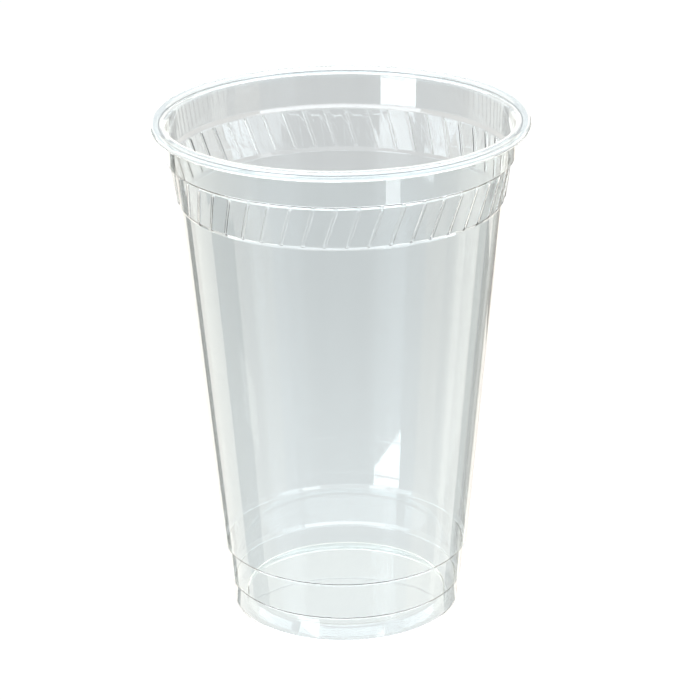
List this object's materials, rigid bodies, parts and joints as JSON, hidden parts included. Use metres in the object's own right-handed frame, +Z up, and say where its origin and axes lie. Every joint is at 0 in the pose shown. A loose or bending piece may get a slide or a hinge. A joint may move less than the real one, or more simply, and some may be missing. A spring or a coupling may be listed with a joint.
{
  "type": "disposable_cup",
  "caption": "Clear thermoformed plastic drinking cup, tapered, with a rolled rim, a band of slanted ribs below it and a stepped foot.",
  "frame": {"origin": "centre of the resting ring at the cup's base, on the surface that the cup stands on", "axes": "+Z up the cup's axis, from the base to the open mouth; the cup is round, so +X and +Y are free"},
  "size_m": [0.098, 0.098, 0.1356],
  "materials": {
    "clear_plastic": "clear, colourless, smooth and glossy"
  },
  "bodies": {
    "root": {"cup": "clear_plastic"}
  },
  "joints": []
}
